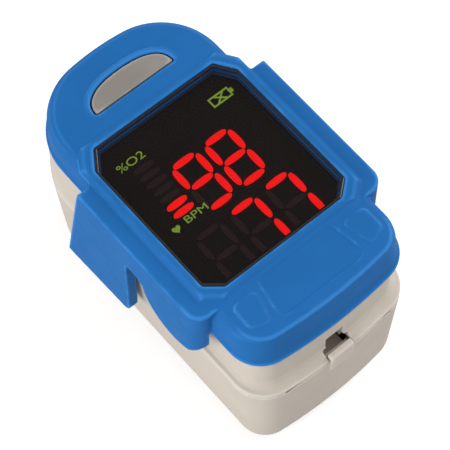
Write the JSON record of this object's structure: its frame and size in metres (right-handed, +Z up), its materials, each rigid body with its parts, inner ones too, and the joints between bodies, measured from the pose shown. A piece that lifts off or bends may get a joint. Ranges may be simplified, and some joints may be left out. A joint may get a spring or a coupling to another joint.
{
  "type": "fingertip pulse oximeter",
  "caption": "Fingertip pulse oximeter: a sprung two-jaw clip with a lit display, a power button, soft finger pads and a sliding battery cover.",
  "frame": {"origin": "on the plane the device rests on, straight below the middle of the display window", "axes": "+Z up through the display, +Y towards the end where the finger enters and where the power button is, +X to the right seen from the squeeze end"},
  "size_m": [0.0338, 0.055, 0.034],
  "materials": {
    "shell_beige": "moulded ABS with a fine satin grain",
    "cover_blue": "moulded ABS, semi-gloss",
    "button_grey": "moulded, satin",
    "window_smoke": "smoked acrylic, polished",
    "segment_red": "light pipes, lit from below",
    "display_black": "moulded light box",
    "silicone_grey": "soft silicone",
    "board_green": "solder-masked glass laminate",
    "chip_black": "moulded epoxy",
    "package_white": "moulded epoxy",
    "lens_clear": "clear window",
    "spring_steel": "drawn spring wire",
    "contact_nickel": "nickel-plated strip",
    "pin_steel": "ground wire",
    "screw_steel": "zinc-plated",
    "cell_sleeve": "plain printed sleeve over a steel can",
    "wire_red": "insulated wire",
    "cable_amber": "polyimide ribbon",
    "switch_steel": "pressed switch can",
    "plunger_black": "moulded"
  },
  "bodies": {
    "lower_jaw": {"lower_housing": "shell_beige", "battery_cells": "cell_sleeve", "battery_springs": "spring_steel", "battery_contacts": "contact_nickel", "battery_wires": "wire_red", "lower_finger_bed": "shell_beige", "lower_finger_pad": "silicone_grey", "lower_bed_screws": "screw_steel", "sensor_board": "board_green", "photodiode": "chip_black", "sensor_lens": "lens_clear", "hinge_pin": "pin_steel", "jaw_springs": "spring_steel", "flex_cable": "cable_amber"},
    "upper_jaw": {"upper_housing": "shell_beige", "upper_finger_bed": "shell_beige", "upper_finger_pad": "silicone_grey", "upper_bed_screws": "screw_steel", "emitter_board": "board_green", "emitter_leds": "package_white", "emitter_lens": "lens_clear", "display_board": "board_green", "board_chips": "chip_black", "switch_body": "switch_steel", "display_module": "display_black", "display_segments": "segment_red", "display_window": "window_smoke", "top_cover": "cover_blue"},
    "button": {"power_button": "button_grey", "switch_plunger": "plunger_black"},
    "battery_cover": {"battery_cover": "shell_beige"}
  },
  "joints": [
    {"name": "jaw_hinge", "type": "hinge", "parent": "lower_jaw", "child": "upper_jaw", "pos_m": [0, -0.0252, 0.0184], "axis": [1, 0, 0], "range_deg": [0, 11], "stiffness_Nm_per_rad": 0.1, "deforming": ["jaw_springs", "flex_cable"]},
    {"name": "button_press", "type": "slide", "parent": "upper_jaw", "child": "button", "axis": [0, 0, -1], "range_m": [0, 0.0004]},
    {"name": "battery_cover_slide", "type": "slide", "parent": "lower_jaw", "child": "battery_cover", "axis": [0, 1, 0], "range_m": [0, 0.05]}
  ]
}
